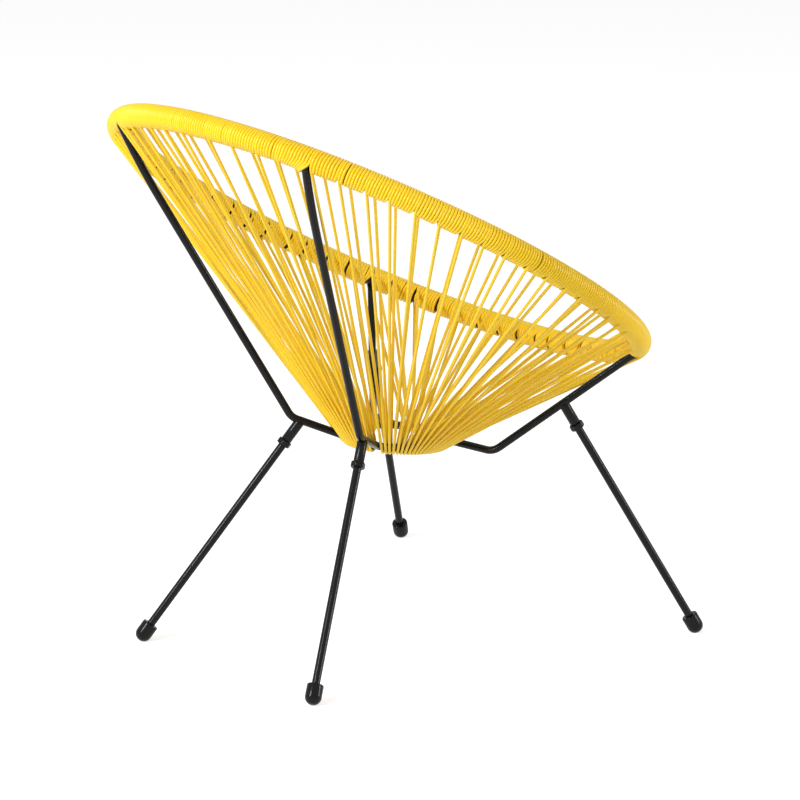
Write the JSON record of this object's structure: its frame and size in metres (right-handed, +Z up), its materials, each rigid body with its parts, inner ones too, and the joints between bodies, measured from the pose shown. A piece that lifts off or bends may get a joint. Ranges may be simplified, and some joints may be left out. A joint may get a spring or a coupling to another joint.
{
  "type": "round cord lounge chair",
  "caption": "Round lounge chair: a tilted steel hoop and a small seat ring strung with plastic cord, on bent rods and splayed screw-in legs with rubber feet.",
  "frame": {"origin": "centre of the overall box on the floor", "axes": "+X towards the sitter's feet, +Y to the sitter's left, +Z up"},
  "size_m": [0.6314, 0.7364, 0.7159],
  "materials": {
    "steel": "satin black paint on steel",
    "cord": "glossy yellow plastic cord",
    "rubber": "black moulded foot"
  },
  "bodies": {
    "root": {"rim_hoop": "steel", "seat_ring": "steel", "support_rod_rear_left": "steel", "leg_socket_rear_left": "steel", "lock_nut_rear_left": "steel", "leg_bar_rear_left": "steel", "foot_cap_rear_left": "rubber", "support_rod_rear_right": "steel", "leg_socket_rear_right": "steel", "lock_nut_rear_right": "steel", "leg_bar_rear_right": "steel", "foot_cap_rear_right": "rubber", "support_rod_front_right": "steel", "leg_socket_front_right": "steel", "lock_nut_front_right": "steel", "leg_bar_front_right": "steel", "foot_cap_front_right": "rubber", "support_rod_front_left": "steel", "leg_socket_front_left": "steel", "lock_nut_front_left": "steel", "leg_bar_front_left": "steel", "foot_cap_front_left": "rubber", "lacing_left_1": "cord", "lacing_left_2": "cord", "lacing_left_3": "cord", "lacing_left_4": "cord", "lacing_left_5": "cord", "lacing_rear_1": "cord", "lacing_rear_2": "cord", "lacing_rear_3": "cord", "lacing_right_1": "cord", "lacing_right_2": "cord", "lacing_right_3": "cord", "lacing_right_4": "cord", "lacing_right_5": "cord", "lacing_front_1": "cord", "lacing_front_2": "cord", "lacing_front_3": "cord", "lacing_front_4": "cord"}
  },
  "joints": []
}
